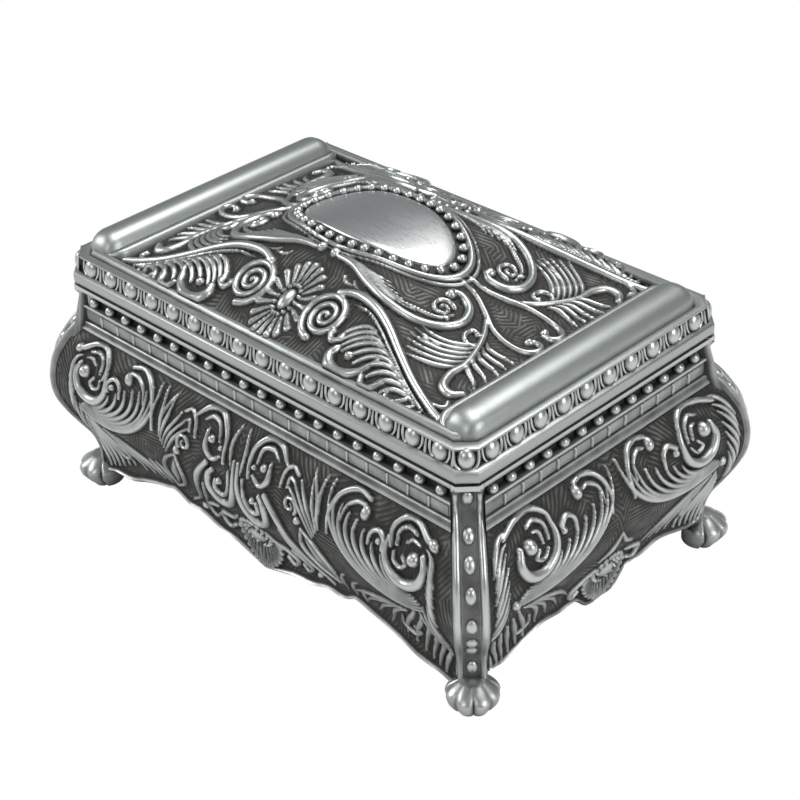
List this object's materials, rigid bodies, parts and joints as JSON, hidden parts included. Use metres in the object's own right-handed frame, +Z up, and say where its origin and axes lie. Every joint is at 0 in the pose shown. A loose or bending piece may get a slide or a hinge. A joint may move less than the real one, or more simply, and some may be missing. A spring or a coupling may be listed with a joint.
{
  "type": "trinket box",
  "caption": "Footed metal trinket box with bombe walls, paw feet, egg-and-dart rim, an oval plate on its crowned hinged lid, and a velvet lining.",
  "frame": {"origin": "on the ground at the middle of the box, below the centre of its overall outline", "axes": "+X along the long side to the viewer's right, +Y towards the back with the hinge, +Z up"},
  "size_m": [0.1384, 0.0928, 0.0765],
  "materials": {
    "antique_pewter": "antiqued pewter plate, dark in the hollows",
    "pewter": "satin pewter plate",
    "polished_pewter": "brushed and polished",
    "pin_steel": "drawn wire",
    "wine_velvet": "short-pile velvet"
  },
  "bodies": {
    "casket": {"wall_front": "antique_pewter", "wall_back": "antique_pewter", "wall_left": "antique_pewter", "wall_right": "antique_pewter", "post_front_left": "pewter", "post_front_right": "pewter", "post_back_left": "pewter", "post_back_right": "pewter", "floor_plate": "antique_pewter", "lining_floor_pad": "wine_velvet", "lining_front": "wine_velvet", "lining_back": "wine_velvet", "lining_left": "wine_velvet", "lining_right": "wine_velvet", "hinge_leaf_body": "pewter", "hinge_pin": "pin_steel"},
    "lid": {"lid_casting": "pewter", "cartouche_plate": "polished_pewter", "lining_lid": "wine_velvet", "hinge_leaf_lid": "pewter"}
  },
  "joints": [
    {"name": "lid_hinge", "type": "hinge", "parent": "casket", "child": "lid", "pos_m": [0, 0.0412, 0.0544], "axis": [-1, 0, 0], "range_deg": [0, 100]}
  ]
}
